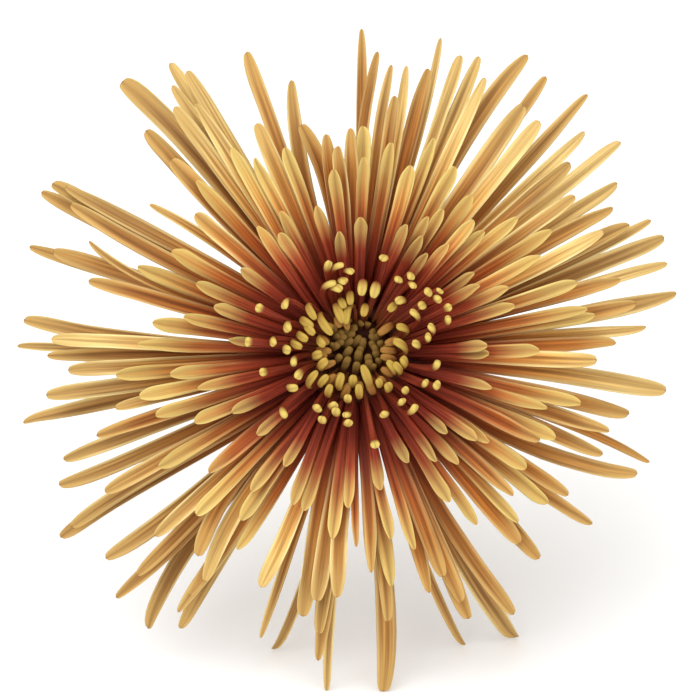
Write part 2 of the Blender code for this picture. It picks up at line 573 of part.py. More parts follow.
def main():
    for old in list(bpy.data.objects):
        bpy.data.objects.remove(old)
    parts = bpy.data.collections.new("spider_chrysanthemum")
    cutters = bpy.data.collections.new("cutters")
    bpy.context.scene.collection.children.link(parts)
    bpy.context.scene.collection.children.link(cutters)
    floor = floor_cutter(cutters)
    head = bpy.data.objects.new("head_axis", None)
    head.location = (HEAD_SIDE, HEAD_BACK, HEAD_HEIGHT)
    head.rotation_euler = (math.radians(90.0 - FACE_TILT), 0.0, 0.0)
    parts.objects.link(head)
    rays = ray_florets(parts)
    centre = centre_florets(parts)
    cup = involucre(parts)
    for piece in (rays, centre, cup):
        piece.parent = head
    cut_flat(rays, floor)
    stalk = stem(parts, floor)
    finishes = (
        (rays, "bronze floret", (0.60, 0.24, 0.06), 0.45),
        (centre, "yellow floret", (0.66, 0.46, 0.10), 0.45),
        (cup, "green bract", (0.20, 0.27, 0.10), 0.6),
        (stalk, "green stem", (0.17, 0.25, 0.08), 0.55),
    )
    for piece, name, color, roughness in finishes:
        piece.data.materials.clear()
        piece.data.materials.append(material(name, color, roughness))


main()
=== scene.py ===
"""Looks of a cut spider chrysanthemum: bronze quilled florets, an incurved yellow centre, bracts and a stem.

Metres, +Z up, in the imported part's frame. The bloom is worked out in millimetres about its own axis, with
+Z out of its face, and HEAD_PLACE sets it down. Every floret that has a solid keeps its midline.
"""

import math
import random

import bmesh
import bpy
from mathutils import Matrix, Vector

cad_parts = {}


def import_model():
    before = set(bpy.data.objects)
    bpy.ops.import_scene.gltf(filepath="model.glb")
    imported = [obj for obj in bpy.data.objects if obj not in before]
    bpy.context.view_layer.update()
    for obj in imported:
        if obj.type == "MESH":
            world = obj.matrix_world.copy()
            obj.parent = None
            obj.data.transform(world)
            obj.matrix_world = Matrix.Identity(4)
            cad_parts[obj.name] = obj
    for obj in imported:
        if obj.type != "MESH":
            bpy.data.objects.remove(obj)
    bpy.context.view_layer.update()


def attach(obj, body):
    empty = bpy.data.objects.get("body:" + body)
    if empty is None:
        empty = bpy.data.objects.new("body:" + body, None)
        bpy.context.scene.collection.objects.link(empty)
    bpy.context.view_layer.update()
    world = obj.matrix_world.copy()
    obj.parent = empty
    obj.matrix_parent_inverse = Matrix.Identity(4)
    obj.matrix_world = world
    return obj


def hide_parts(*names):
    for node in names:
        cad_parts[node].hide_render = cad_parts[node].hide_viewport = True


# Pose of the head
FACE_TILT = 30.0  # degrees the face looks up from the horizontal
HEAD_HEIGHT = 0.0700  # receptacle above the surface it lies on
HEAD_SIDE, HEAD_BACK = 0.0021, -0.0573  # receptacle along X and Y, which centre the part over its origin

# Bloom, in millimetres about the head's axis
MM = 0.001
NECK_RADIUS = 8.2  # where the centre florets come out of the rest
NECK_HEIGHT = 12.6
CONE_SLOPE = 0.72  # the ray florets stay under this cone and the centre florets over it
LAYERS_RISE = 10.0  # lowest root to highest root
SLOPE_LOW, SLOPE_HIGH = 0.26, 0.66  # how steeply the lowest and highest florets leave the core
ARCH = 0.0056  # how fast every floret bends down again
ROW_WINDOW = 7.5  # florets closer than this many degrees lie on each other
ROW_STEP = 0.09  # share of LAYERS_RISE between two that do
TIP_SINK = 0.7  # how far a tip on the surface would reach under it, which is cut off flat
ROOT_RADIUS, ROOT_SPREAD = 6.5, 2.4  # from the axis to the lowest roots, and how much farther the highest are
ROOT_DEPTH = 0.4  # every root sits this much lower in the core
CONE_GAP = 1.5  # between the cone and the midlines under it
CONE_LIFT = 1.3  # between the cone and the midlines over it
SPOON_SHORT = 27.0  # reach of the shortest spooned floret
SPOON_SLIM, SPOON_GROWTH = 0.72, 0.014  # share of the usual width that it has, and more per millimetre
OUTER_REACH = 68.0  # long florets that reach farther are in the outer piece

# Stem
STEM_LENGTH = 0.160
STEM_START = 0.0123  # behind the receptacle, inside the involucre
STEM_SWAY = 5.0  # degrees it bends sideways
STEM_SEAT = 0.0012  # how far its upper end reaches into the bract cup
STEM_RADIUS = 0.0027
STEM_END_SLOPE = 16.0  # degrees the cut end of the stem points down
STEM_STEPS = 24  # pieces that its path is summed up from
STEM_SIDES, STEM_RINGS = 24, 76
STEM_SLIMMEST = 0.88  # share of its radius that it has behind the head, growing to the whole at its end
NECK_SWELL, NECK_SWELL_END = 0.12, 0.125  # how much thicker it is at the head, and where along it that ends
LEAF_SCARS = (4 / 14, 8 / 14, 12 / 14)  # shares of its length where a leaf was stripped off
SCAR_SWELL, SCAR_SPREAD = 0.12, 0.025  # how much thicker it is at a scar, and over what share of its length
RIBS, RIB_HEIGHT, RIB_TWIST = 6, 0.035, 1.5  # ribs, their share of its radius, and radians they wind
CUT_SLANT = 35.0  # degrees between the cut end and a square cut
CUT_TOLERANCE = 0.00001  # points this close to the cut lie on it

# Long florets as they lie on this bloom: clock angle in degrees from three o'clock, reach in millimetres
LONG_FLORETS = (
    (2, 58), (5, 65.5), (10, 63.5), (10.5, 74), (15.5, 61), (16, 73), (20.5, 74.5), (24, 73), (25, 68),
    (26, 61.5), (29.5, 66), (33, 70), (35.5, 60), (38.5, 77), (41.5, 64), (44, 72), (48, 79),
    (51.5, 66), (55.5, 76), (56, 67), (60, 78), (65, 68), (67.5, 72.5), (70.5, 71), (75, 74),
    (76, 65.5), (80, 65), (81.5, 57.5), (83, 64.5), (86, 68), (89, 73.5), (91.5, 49.5), (95, 45.5),
    (98, 48.5), (103.5, 52), (103.5, 62.5), (110, 72.5), (113.5, 55.5), (121, 74.5), (122.8, 78.5),
    (123, 66.5), (124.5, 73), (126.5, 68.5), (130.8, 81.5), (133.5, 68.5), (134, 59.5), (139.5, 47),
    (144.5, 56.5), (150.5, 76), (151, 79), (152.5, 72.5), (153, 81), (157.5, 65), (161.5, 72),
    (162, 78.5), (165, 62), (174.5, 75.5), (177.5, 68.5), (179, 77), (180.5, 69.5), (183.5, 64.5),
    (188, 70.5), (192, 77.5), (193, 55), (198, 61), (200, 70.5), (204, 74), (209, 64.5), (211.5, 76),
    (212, 80), (219, 42), (219.5, 73.5), (222.5, 61), (225.5, 70.5), (225.8, 78), (232, 57.5),
    (233, 79), (235.5, 66), (235.5, 71), (236.5, 61.5), (237.5, 74.5), (248, 56.5), (251.5, 68),
    (254.5, 72.5), (258.5, 60), (261, 56), (262.5, 63.5), (263, 70), (265, 78.5), (265.5, 54.5),
    (270, 43), (274, 49), (274.5, 78.5), (276.5, 60.5), (287, 56), (290, 73.5), (291, 53.5),
    (292.5, 60.5), (293, 65), (299, 77), (301, 69), (310.5, 56), (311.5, 61.5), (317.5, 47),
    (324, 65.5), (326, 57), (334.5, 45), (336.5, 69), (337.5, 59.5), (339.5, 71), (342.5, 59),
    (347.5, 62.5), (353, 70.5), (358, 53.5),
)
# Spooned florets of the middle rows, the same way
SPOON_FLORETS = (
    (0.5, 40.5), (2.5, 29), (9, 53.5), (10.5, 52), (16.5, 36.5), (17.5, 51), (23, 36.5), (27.5, 46),
    (28.5, 31), (32, 51), (34, 31.5), (40, 46.5), (43.5, 39), (48.5, 39), (50, 31.5), (53.5, 43),
    (54.5, 27), (59, 37), (61, 29.5), (62, 34), (62, 46.5), (68.5, 30.5), (70, 50.5), (73.5, 43),
    (80.5, 47), (88, 30), (88, 43), (88.5, 50), (97, 40.5), (98.5, 27), (105, 33.5), (109, 48),
    (117.5, 48.5), (118.5, 35.5), (121.5, 53), (122.5, 31.5), (128.5, 35.5), (133, 52), (144.5, 31.5),
    (151.5, 46.5), (157, 38.5), (158.5, 52), (162.5, 33), (168.5, 39), (171.5, 45.5), (174.5, 28.5),
    (178, 48.5), (185.5, 53.5), (187, 41.5), (191.5, 49), (193, 36), (197.5, 46.5), (203.5, 39),
    (206, 30.5), (210, 50.5), (219.5, 28.5), (225.5, 50.5), (233, 38.5), (235.5, 45), (238, 30),
    (239, 51), (247, 36.5), (251.5, 37), (262.5, 41.5), (267, 34.5), (278.5, 52.5), (280, 31),
    (280.5, 42), (286.5, 45.5), (295, 27), (302, 39), (305, 46.5), (306.5, 30), (312.5, 33.5),
    (313.5, 52), (318, 27), (322, 54), (324, 33), (325.5, 45.5), (326, 35.5), (336.5, 48), (343.5, 44),
    (345, 31), (347, 51), (359.5, 29.5),
)
# Florets whose base lies aside from their tip: clock angle and reach, then degrees from tip to base
LEANS = {
    (48.5, 39): -4, (50, 31.5): -7, (56, 67): 2, (60, 78): 2, (68.5, 30.5): 6, (86, 68): 2,
    (103.5, 52): -2, (103.5, 62.5): 6, (121.5, 53): 7, (128.5, 35.5): 7, (133.5, 68.5): 3,
    (144.5, 56.5): -3, (150.5, 76): -6, (174.5, 75.5): 3, (211.5, 76): 5, (212, 80): 8,
    (219.5, 73.5): 1, (232, 57.5): -5, (233, 79): -3, (236.5, 61.5): -4, (238, 30): -6, (239, 51): 3,
    (247, 36.5): -7, (254.5, 72.5): 4, (258.5, 60): -10, (274.5, 78.5): 2, (280.5, 42): -4,
    (290, 73.5): -3, (295, 27): -7, (299, 77): -3, (301, 69): -4, (324, 65.5): -4, (336.5, 69): -8,
}
# Florets bowed sideways between base and tip: clock angle and reach, then degrees at the middle
BOWS = {
    (5, 65.5): -0.5, (10, 63.5): -0.8, (10.5, 74): -1.2, (16, 73): 0, (20.5, 74.5): -0.8,
    (24, 73): -1.2, (26, 61.5): -1, (29.5, 66): 0.8, (60, 78): 3.5, (75, 74): -1, (80, 65): -1,
    (83, 64.5): 1.5, (86, 68): 2.5, (89, 73.5): -0.5, (103.5, 52): -4, (103.5, 62.5): 2.5,
    (110, 72.5): 0.5, (130.8, 81.5): -2.5, (144.5, 56.5): -2, (152.5, 72.5): 1.5, (157.5, 65): 5,
    (174.5, 75.5): 2, (192, 77.5): -1, (204, 74): 1.5, (211.5, 76): -1.5, (212, 80): -1.5,
    (219.5, 73.5): 2, (225.8, 78): 1, (232, 57.5): -5, (233, 79): -4.5, (235.5, 66): 0.2,
    (235.5, 71): 0.5, (236.5, 61.5): -4, (237.5, 74.5): -1.5, (239, 51): 1, (248, 56.5): 1.2,
    (254.5, 72.5): 3.2, (265, 78.5): -0.8, (265.5, 54.5): -1, (270, 43): -1, (274, 49): 0.8,
    (274.5, 78.5): 2.5, (276.5, 60.5): 1, (280.5, 42): -0.5, (287, 56): 1, (290, 73.5): -2.2,
    (299, 77): -1.5, (301, 69): -2, (324, 65.5): -1, (336.5, 69): -4, (339.5, 71): 2.4, (353, 70.5): 1,
}
# Florets much wider or narrower than the rest, the same way, as a share of the usual width
BREADTHS = {
    (5, 65.5): 0.85, (10.5, 74): 1.25, (16, 73): 0.8, (20.5, 74.5): 1.15, (24, 73): 0.85,
    (55.5, 76): 0.75, (56, 67): 1.3, (60, 78): 1.2, (70.5, 71): 0.8, (75, 74): 0.55, (80, 65): 0.75,
    (81.5, 57.5): 0.8, (83, 64.5): 0.75, (86, 68): 0.7, (89, 73.5): 0.7, (110, 72.5): 0.95,
    (130.8, 81.5): 1.45, (144.5, 56.5): 0.6, (157.5, 65): 0.55, (179, 77): 0.65, (193, 55): 0.75,
    (239, 51): 0.85, (248, 56.5): 1.05, (251.5, 68): 0.6, (254.5, 72.5): 0.7, (265, 78.5): 0.65,
    (270, 43): 0.55, (274, 49): 0.85, (274.5, 78.5): 1.3, (280.5, 42): 0.85, (286.5, 45.5): 0.85,
    (290, 73.5): 0.6, (299, 77): 1.25, (305, 46.5): 0.85, (313.5, 52): 0.85, (336.5, 69): 1.05,
    (339.5, 71): 0.6, (353, 70.5): 1.25,
}
PALE_SIDES = ((112.0, 129.0), (62.0, 76.0))  # clock angles between which the florets have faded to cream
TAWNY_SIDES = ((129.0, 134.0), (149.0, 163.0), (275.0, 350.0))  # and between which they are the brownest
PALE_TINT = 0.82  # lowest tint of the faded ones
TAWNY_TINT = 0.5  # highest tint of the brownest
SQUARE_TIP = (130.8, 81.5)  # the one long floret with a broad, square tip
SQUARE_BLUNTNESS = 1.35
# How the long and spooned florets vary: between two limits, or as much either way
LEAN_LIMIT = 1.5  # degrees from tip to base, in one that has no lean of its own
ROLL_LIMIT = 16.0  # degrees about its length
TWIST_LIMIT = 30.0  # degrees at its tip
BREADTH_LIMITS = (0.92, 1.12)  # share of the usual width, also of the centre florets
CUP_LIMITS = (0.16, 0.26)  # height of the margins as a share of the width
BLUNTNESS_LIMITS = (0.75, 1.3)  # share of the usual width at the tip
LONG_HOOKS, SPOON_HOOKS = (-0.3, 0.8), (0.5, 1.3)  # millimetres that the tip turns up
WIDTH_LIMITS = (0.94, 1.06)  # unevenness of the width along one floret
SIDE_LIMIT = 0.12  # millimetres that its midline strays sideways
CURL_START = 0.82  # share of the reach where the tip begins
TIP_FOLD = 0.8  # how much higher the margins are at its end
# Florets that stand up round the eye: clock angle and reach of the tip, then of the floret's outermost bend
FINGER_FLORETS = (
    (18, 8.5, 352, 11.5), (33, 10.5, 16, 12.5), (52, 11.5, 50, 14), (79, 8, 79, 11),
    (97, 10.5, 95, 14), (105, 10, 108, 12.5), (110, 6.5, 89, 11.5), (114, 7, 113, 12.5),
    (141, 11.5, 132, 16), (144, 6.5, 129, 13), (150, 11, 148, 15), (157, 10, 145, 13.5),
    (166, 11, 160, 14), (169, 7, 153, 9), (175, 12, 168, 15), (182, 7.5, 188, 9.5),
    (194, 6.5, 209, 9), (206, 9.5, 221, 14), (219, 8, 224, 11.5), (232, 9, 240, 12),
    (237, 5.5, 249, 9.5), (263, 5, 264, 7.5), (274, 7, 274, 10.5), (295, 3, 290, 9.5),
    (309, 7.5, 302, 9), (315, 9.5, 308, 11), (344, 7, 325, 10), (344, 8.5, 330, 11),
    (354, 10, 339, 11),
)
CLUB_FLORETS = (
    (10, 12.5, 2, 14), (14, 16, 7, 15.5), (21, 17, 10, 17.5), (21, 21.5, 16, 20.5),
    (26, 23, 26, 21), (32, 21.5, 36, 20.5), (36, 17, 34, 18.5), (36, 22.5, 38, 23),
    (38, 15, 20, 15.5), (39, 20, 42, 21), (48, 19, 55, 19), (52, 14, 44, 16), (53, 20, 58, 21),
    (59, 18, 62, 18.5), (73, 12.5, 74, 17), (75, 21, 71, 22), (85, 12.5, 84, 17),
    (92, 17.5, 102, 18), (98, 15.5, 107, 16), (98, 19.5, 112, 18.5), (103, 14, 117, 15.5),
    (106, 16, 126, 15.5), (106, 21, 113, 18), (149, 18.5, 138, 19), (155.5, 24, 155.5, 22),
    (163, 15.5, 153, 16.5), (174.5, 24.5, 174.5, 22.5), (175, 18, 168, 18.5), (179, 14.5, 175, 16),
    (192, 14, 181, 13), (192, 21.5, 192, 19.5), (204, 14.5, 195, 11.5), (211, 15, 204, 17.5),
    (223, 21, 213, 20), (237, 14.5, 231, 15), (242, 16, 246, 17), (249, 12, 241, 13.5),
    (250, 13, 254, 14.5), (259, 9.5, 261, 11), (259, 14, 266, 13), (265, 15, 260, 16),
    (281.5, 21, 281.5, 19.5), (292, 14.5, 299, 15), (315, 14.5, 307, 14.5), (319, 17.5, 305, 17.5),
    (323, 13, 320, 14), (338, 16.5, 331, 16), (339, 18.5, 335, 19.5), (354, 18, 345, 17),
)
CLUB_TOP, CLUB_TOP_PLACE = 23.5, 12.0  # height of a club, and how far from the axis it has that height
CLUB_TOP_GROWTH = 0.22  # more per millimetre farther out
CLUB_TOPS = (23.0, 26.0)  # limits of that height
FINGER_TOP = 22.2
CLUB_TOP_LIMIT, FINGER_TOP_LIMIT = 0.4, 0.5  # how far off its height a top may be
CLUB_SCALE, FINGER_SCALE, EYE_SCALE = 0.9, 0.85, 0.75  # share of the widths of CLUB_STATIONS
CLUB_FOLD = 0.3
BULGE_LOW, BULGE_HIGH = (1.6, 1.5), (1.2, -0.4)  # past the bend and above the root, or past it and the tip
CLUB_ROOT = (0.32, 6.6, 13.6)  # share of the bend's radius, greatest radius, and height of a club's root
FINGER_ROOT = (0.36, 14.4)  # share of the bend's radius, and height of a finger's root
LOW_FINGERS = 21  # places round the axis for fingers that fill in under the others
LOW_FINGER_GAP = (38.0, 100.0)  # clock angles between which there are none
LOW_FINGER_TOP = 20.6
LOW_FINGER_REACH, LOW_FINGER_BEND = (4.6, 7.4), (8.6, 11.4)  # limits of the tip's and the bend's radius
LOW_FINGER_TURN = 8.0  # degrees that the tip may lie aside from the bend
PLACE_LIMIT = 0.3  # share of the way to its neighbour that one of a ring may be off its place
# Rings of small florets round the eye: number, and how far their tips are from its middle
EYE_RINGS = ((8, 1.7), (12, 4.1), (9, 6.4))
EYE_FILL_RINGS = ((8, 3.0), (15, 5.3), (18, 7.4))  # lower ones that close the gaps between them
EYE_FILL_DROP, EYE_FILL_REACH = 0.7, 6.2  # how much lower, and farthest from the axis that their tips are
EYE_LIMIT = 0.5  # how far off its ring a tip may be
EYE_HOLLOW = (1.7, 4.9)  # from the axis to the middle of the eye, which lies aside from it
EYE_LEAN = 4.2  # how far a floret of the eye leans in from its root
EYE_ROOT, EYE_TOP = 14.2, 17.0  # height of the roots, and of a tip over the middle of the eye
EYE_RISE = 0.4  # how much higher the tips get per millimetre from the middle
DOME_REACH, ROOT_REACH = 8.2, 5.8  # farthest from the axis that such a tip and its root are
# Long florets whose tips are pressed down onto the surface: clock angle and reach, as above
FLOOR_FLORETS = ((254.5, 72.5), (265, 78.5), (274.5, 78.5), (290, 73.5), (299, 77))
TIP_ROUNDING = 0.6  # millimetres that rounding takes off a tip, added before it
FLOOR_CLEARANCE = 0.0001  # lowest point of a piece above the surface it lies on

# Profiles spun about the bloom's axis: radius and height in millimetres, then the steps of each spin
CORE_PROFILE = (
    (0.0, -2.2), (8.0, -2.2), (12.2, -0.8), (13.4, 2.5), (12.6, 6.5), (10.6, 10.5),
    (8.6, 12.2), (8.0, 11.6), (6.8, 6.5), (0.0, 5.5),
)
DOME_PROFILE = (
    (0.0, 5.9), (6.2, 6.9), (7.5, 11.6), (7.6, 14.0), (6.4, 15.4), (3.6, 15.6), (0.0, 14.8),
)
CUP_PROFILE = (
    (0.0, -12.0), (2.8, -12.0), (5.4, -10.4), (9.4, -7.4), (11.6, -3.4), (11.2, -2.2), (8.0, -2.6),
    (0.0, -2.6),
)
CORE_STEPS, DOME_STEPS, CUP_STEPS = 40, 32, 32
MERGE_DISTANCE = 0.001  # points of a spun piece closer than this are one

# Rows of bracts: number, clock angle of the first, then radius and height of the tips
BRACT_ROWS = ((13, 0.0, 13.2, -2.4), (13, 14.0, 11.8, -4.4), (11, 5.0, 9.6, -6.8))
BRACT_STATIONS = ((0.0, 2.0), (0.35, 4.6), (0.6, 5.2), (0.8, 4.2), (0.93, 2.4), (1.0, 0.9))  # share and width
BRACT_ROOT, BRACT_BELLY = (4.0, -9.6), (8.6, -8.0)  # radius and height of the curve's start and handle
BRACT_ROW_RISE = 0.6  # how much higher the handle is in each next row
BRACT_THICKNESS, BRACT_FOLD = 0.7, 0.35

# Seeds of the random draws
RAY_SEED, RAY_FINISH_SEED = 11, 23
CENTRE_SEED, CENTRE_FINISH_SEED = 5, 31
LOW_FINGER_SEED, EYE_SEED, EYE_FILL_SEED, BRACT_SEED = 41, 17, 19, 7

# Camera and light
VIEW_WIDTH = 159.3  # what the camera's frame takes in at the receptacle
VIEW_ASIDE, VIEW_ABOVE = -1.4, 0.5  # from the bloom's axis to the middle of the frame
LENS, SENSOR = 200.0, 36.0  # millimetres
LAMPS = (  # name, place about the bloom in millimetres, size in metres, and watts
    ("key", (-420, 680, 900), 1.3, 12.0),
    ("fill", (760, 60, 800), 1.2, 4.0),
)
SURROUND_STRENGTH = 0.82
FLOOR_SIZE = 8.0

HEAD_PLACE = (
    Matrix.Translation((HEAD_SIDE, HEAD_BACK, HEAD_HEIGHT))
    @ Matrix.Rotation(math.radians(90.0 - FACE_TILT), 4, "X")
    @ Matrix.Scale(MM, 4)
)

# Outline of a floret's cross-section from its left margin, under the keel and back over the channel:
# across, then up as a share of half the thickness in a closed tube, then up in an open channel as a
# share of the margins' height and of half the thickness
OUTLINE = (
    (-1.13, 0.0, 1.1, 0.1), (-0.76, -0.78, 0.22, -0.9), (0.0, -1.1, 0.0, -1.1), (0.76, -0.78, 0.22, -0.9),
    (1.13, 0.0, 1.1, 0.1), (0.72, 0.78, 0.52, 0.5), (0.0, 1.1, 0.0, 0.3), (-0.72, 0.78, 0.52, 0.5),
)
# Stations along a floret: share of its reach, width in millimetres, how far it is open, thickness
LONG_STATIONS = (
    (0.0, 1.8, 0.0, 1.1), (0.3, 2.8, 0.1, 1.3), (0.5, 3.1, 0.6, 1.0), (0.66, 3.6, 1.0, 0.8),
    (0.8, 3.55, 1.0, 0.7), (0.9, 3.25, 1.0, 0.65), (0.965, 2.6, 1.0, 0.55), (1.0, 1.4, 1.0, 0.4),
)
SPOON_STATIONS = (
    (0.0, 1.6, 0.0, 1.1), (0.3, 2.35, 0.0, 1.4), (0.55, 2.6, 0.2, 1.4), (0.74, 3.1, 0.8, 1.0),
    (0.87, 3.3, 1.0, 0.9), (0.945, 3.0, 1.0, 0.9), (0.985, 2.0, 1.0, 0.8), (1.0, 0.9, 1.0, 0.5),
)
CLUB_STATIONS = (
    (0.0, 0.9, 0.0, 0.8), (0.35, 1.3, 0.0, 1.1), (0.6, 1.7, 0.0, 1.4), (0.78, 2.2, 0.1, 1.7),
    (0.9, 2.3, 0.2, 1.8), (0.97, 1.7, 0.2, 1.4), (1.0, 0.8, 0.2, 0.7),
)
MARKS = ("along", "across", "radius", "tint")  # what each point of a floret knows of its place


def clamp(value, low, high):
    """The value, held between two limits."""
    return max(low, min(high, value))


def angle_between(a, b):
    """The smallest angle between two clock angles."""
    return abs((a - b + 180.0) % 360.0 - 180.0)


def cone_height(rho):
    """Height of the cone that divides the ray florets from the centre florets."""
    return NECK_HEIGHT + CONE_SLOPE * (rho - NECK_RADIUS)


def lay_rows(florets):
    """Lay the florets from the longest to the shortest, each on those it overlaps.

    Returns (angle, reach, level) with the level from 0, the lowest row, to 1, the highest.
    """
    laid = []
    order = sorted(florets, key=lambda floret: -floret[1])
    for place, (angle, reach) in enumerate(order):
        level = place / len(order)
        for other, _, under in laid:
            if angle_between(angle, other) < ROW_WINDOW:
                level = max(level, under + ROW_STEP)
        laid.append((angle, reach, level))
    top = max(level for _, _, level in laid)
    return [(angle, reach, level / top) for angle, reach, level in laid]


def ray_point(floret, t):
    """Point of a ray floret's midline, in millimetres, at share t of its reach."""
    angle, reach, level, lean, bow, press = floret
    root = ROOT_RADIUS + ROOT_SPREAD * level
    rho = root + (reach - root) * t
    run = rho - NECK_RADIUS
    height = LAYERS_RISE * level - ROOT_DEPTH
    height += (SLOPE_LOW + (SLOPE_HIGH - SLOPE_LOW) * level) * run - ARCH * run * run
    height -= press * t * t * t
    if rho > NECK_RADIUS:
        height = min(height, cone_height(rho) - CONE_GAP)
    turn = math.radians(angle + lean * (1.0 - t) ** 2 + bow * 4.0 * t * (1.0 - t))
    return Vector((rho * math.cos(turn), rho * math.sin(turn), height))


def centre_point(floret, t):
    """Point of a centre floret's midline, in millimetres, on a cubic curve that bulges and turns in."""
    (tip_angle, tip, bend_angle, bend), (root, base), top = floret
    low = (bend + BULGE_LOW[0], base + BULGE_LOW[1])
    high = (bend + BULGE_HIGH[0], top + BULGE_HIGH[1])
    path = ((root, base), low, high, (tip, top))
    weights = ((1 - t) ** 3, 3 * t * (1 - t) ** 2, 3 * t * t * (1 - t), t ** 3)
    rho = sum(weight * point[0] for weight, point in zip(weights, path))
    height = sum(weight * point[1] for weight, point in zip(weights, path))
    if rho > NECK_RADIUS:
        height = max(height, cone_height(rho) + CONE_LIFT)
    sweep = (tip_angle - bend_angle + 180.0) % 360.0 - 180.0
    angle = math.radians(bend_angle + sweep * t * t)
    return Vector((rho * math.cos(angle), rho * math.sin(angle), height))


def low_fingers():
    """Fingers under the others, listed as those are."""
    draw = random.Random(LOW_FINGER_SEED)
    florets = []
    for number in range(LOW_FINGERS):
        angle = 360.0 / LOW_FINGERS * (number + draw.uniform(-PLACE_LIMIT, PLACE_LIMIT))
        tip = draw.uniform(*LOW_FINGER_REACH)
        bend = draw.uniform(*LOW_FINGER_BEND)
        turn = draw.uniform(-LOW_FINGER_TURN, LOW_FINGER_TURN)
        if not LOW_FINGER_GAP[0] < angle < LOW_FINGER_GAP[1]:
            florets.append((angle + turn, tip, angle, bend))
    return florets


def eye_florets(rings, top, limit, seed):
    """Root and tip of each small floret of some rings of the eye, in millimetres.

    A tip over the middle of the eye has the height top. One beyond the limit from the axis is left out.
    """
    draw = random.Random(seed)
    florets = []
    for count, away in rings:
        for number in range(count):
            turn = math.tau * (number + draw.uniform(-PLACE_LIMIT, PLACE_LIMIT)) / count + away
            reach = away + draw.uniform(-EYE_LIMIT, EYE_LIMIT)
            out = Vector((math.cos(turn), math.sin(turn), 0.0))
            tip = Vector((*EYE_HOLLOW, top + EYE_RISE * reach)) + out * reach
            root = Vector((*EYE_HOLLOW, 0.0)) + out * (reach + EYE_LEAN)
            root *= min(1.0, ROOT_REACH / root.length)
            root.z = EYE_ROOT
            if tip.xy.length < limit:
                florets.append((root, tip))
    return florets


def eye_point(floret, t):
    """Point of the midline of a floret of the eye, which rises first and then leans in."""
    root, tip = floret
    point = root.lerp(tip, t * t)
    point.z = root.z + (tip.z - root.z) * (1.0 - (1.0 - t) ** 2)
    return point


def floor_press(angle, reach, level):
    """How far a floret bends back for its tip to reach just under the surface."""
    tip = ray_point((angle, reach, level, 0.0, 0.0, 0.0), 1.0)
    tilt = math.radians(FACE_TILT)
    target = (-HEAD_HEIGHT / MM - tip.y * math.cos(tilt) - TIP_SINK) / math.sin(tilt)
    return tip.z - target


def stem_path(t):
    """Point of the stem's midline at share t of its length, in metres, in the part's own frame."""
    start = math.radians(FACE_TILT)
    end = math.radians(STEM_END_SLOPE)
    point = Vector((HEAD_SIDE, HEAD_BACK, HEAD_HEIGHT))
    point += STEM_START * Vector((0, math.cos(start), -math.sin(start)))
    for step in range(STEM_STEPS):
        share = (step + 0.5) / STEM_STEPS * t
        slope = start + (end - start) * share
        sway = math.radians(STEM_SWAY) * math.sin(math.pi * share)
        piece = STEM_LENGTH * t / STEM_STEPS
        point += piece * Vector((math.sin(sway), math.cos(slope) * math.cos(sway), -math.sin(slope)))
    return point


def frame_along(point_at, t, outward=None):
    """Tangent, sideways and upper directions of a floret that lies outward, or else away from the axis."""
    step = 0.01
    tangent = (point_at(min(t + step, 1.0)) - point_at(max(t - step, 0.0))).normalized()
    outward = outward or point_at(t)
    around = Vector((-outward.y, outward.x, 0.0)).normalized()
    side = (around - tangent * around.dot(tangent)).normalized()
    return tangent, side, tangent.cross(side)


def place_mark(vert, marks, values):
    """Note a point's place on its floret."""
    for mark, value in zip(marks, values):
        vert[mark] = value


def on_bloom(point):
    """A point of the bloom in the part's frame, kept above the surface it lies on."""
    placed = HEAD_PLACE @ point
    placed.z = max(placed.z, FLOOR_CLEARANCE)
    return placed


def ring_round(centre, side, up, width, opened, thick, fold, roll):
    """Eight points round a floret, from a closed tube to an open channel."""
    turned_side = side * math.cos(roll) + up * math.sin(roll)
    turned_up = up * math.cos(roll) - side * math.sin(roll)
    ring = []
    for across, tube, margin, body in OUTLINE:
        height = (1.0 - opened) * tube * thick / 2.0 + opened * (margin * fold + body * thick / 2.0)
        ring.append(centre + turned_side * (across * width / 2.0) + turned_up * height)
    return ring


def new_bloom_mesh():
    """An empty mesh whose points can be marked."""
    bm = bmesh.new()
    marks = [bm.verts.layers.float.new(name) for name in MARKS]
    return bm, marks


def grow_floret(bm, marks, rings, shares, tint):
    """Extrude a small disc through the rings of one floret."""
    disc = bmesh.ops.create_circle(bm, cap_ends=True, segments=len(rings[0]), radius=1.0)["verts"]
    end = disc[0].link_faces[0]
    for number, (ring, share) in enumerate(zip(rings, shares)):
        if number > 0:
            grown = bmesh.ops.extrude_face_region(bm, geom=[end])["geom"]
            if number > 1:
                bm.faces.remove(end)
            end = next(part for part in grown if isinstance(part, bmesh.types.BMFace))
        for vert, point, (across, *_) in zip(end.verts, ring, OUTLINE):
            vert.co = on_bloom(point)
            place_mark(vert, marks, (share, across, math.hypot(point.x, point.y), tint))


def finish_piece(name, bm, finishes, rounding=0):
    """Turn a mesh into a piece of the part with its finishes."""
    bmesh.ops.recalc_face_normals(bm, faces=bm.faces[:])
    mesh = bpy.data.meshes.new(name)
    bm.to_mesh(mesh)
    bm.free()
    mesh.shade_smooth()
    for finish in finishes:
        mesh.materials.append(finish)
    piece = bpy.data.objects.new(name, mesh)
    bpy.context.scene.collection.objects.link(piece)
    if rounding:
        subdivision = piece.modifiers.new("Rounding", "SUBSURF")
        subdivision.levels = rounding
        subdivision.render_levels = rounding
    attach(piece, "root")
    return piece


